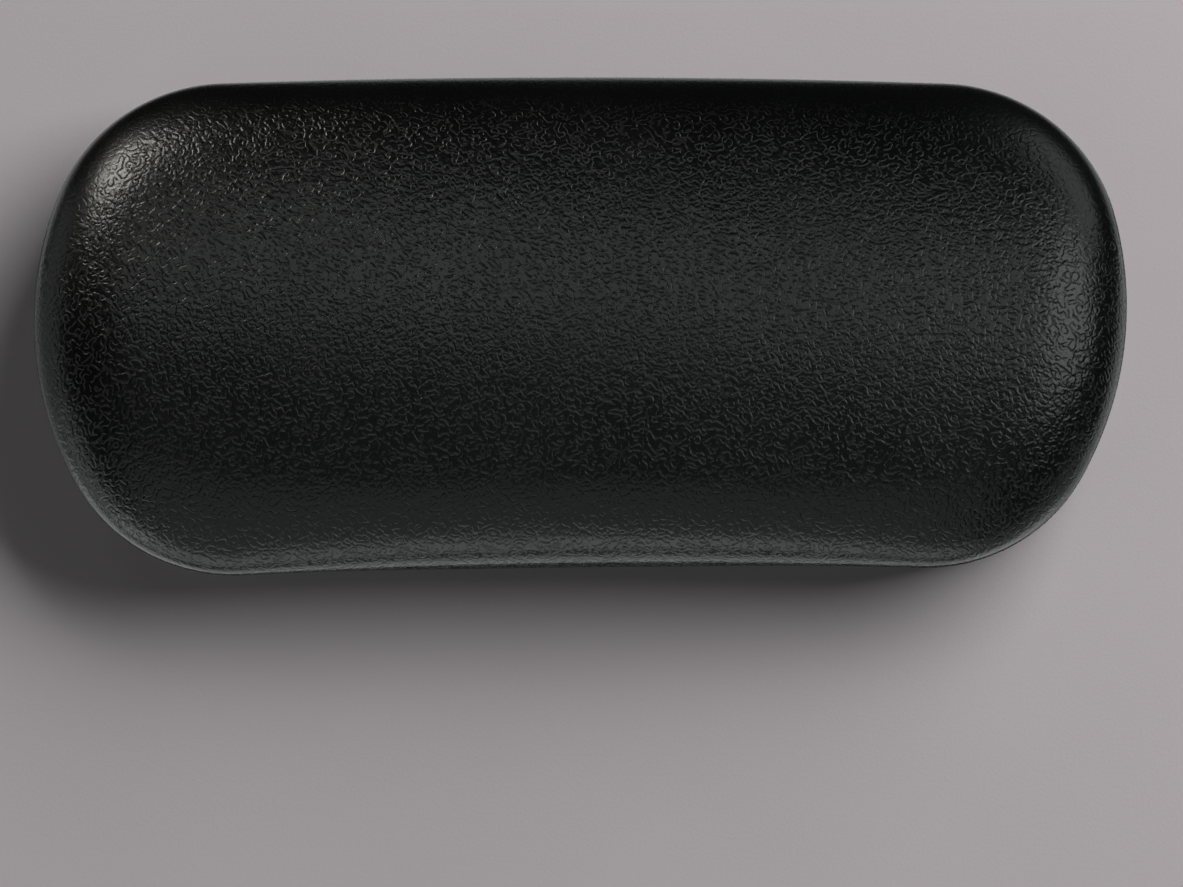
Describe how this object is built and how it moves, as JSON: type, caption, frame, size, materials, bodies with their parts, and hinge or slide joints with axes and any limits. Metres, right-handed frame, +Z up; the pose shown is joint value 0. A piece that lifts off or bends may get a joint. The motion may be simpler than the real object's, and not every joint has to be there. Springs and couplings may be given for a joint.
{
  "type": "chair armrest pad",
  "caption": "Long rounded black armrest pad: grained moulded skin over foam on a ribbed nylon insert, with a steel mounting plate underneath.",
  "frame": {"origin": "under the middle of the pad, in the plane of the underside lip; the centre of the chair's bolt pattern lies on the same vertical line", "axes": "+X to the front of the chair arm along the pad's length, +Y to the straighter long side, +Z up"},
  "size_m": [0.24, 0.112, 0.028],
  "materials": {
    "moulded_skin": "black self-skinned polyurethane with a fine leather grain, soft sheen",
    "foam": "dark open-cell polyurethane foam",
    "nylon": "glass-filled nylon, as moulded",
    "zinc_plate": "zinc-plated sheet steel, clear passivated",
    "zinc_nut": "zinc-plated steel, turned",
    "black_screw": "black oxide steel, oiled",
    "brass": "machined brass, knurled outside"
  },
  "bodies": {
    "root": {"skin": "moulded_skin", "foam_core": "foam", "support_insert": "nylon", "mounting_plate": "zinc_plate", "clinch_nut_1": "zinc_nut", "clinch_nut_2": "zinc_nut", "clinch_nut_3": "zinc_nut", "clinch_nut_4": "zinc_nut", "plate_screw_1": "black_screw", "plate_screw_2": "black_screw", "plate_screw_3": "black_screw", "plate_screw_4": "black_screw", "plate_screw_5": "black_screw", "plate_screw_6": "black_screw", "brass_insert_1": "brass", "brass_insert_2": "brass", "brass_insert_3": "brass", "brass_insert_4": "brass", "brass_insert_5": "brass", "brass_insert_6": "brass"}
  },
  "joints": []
}
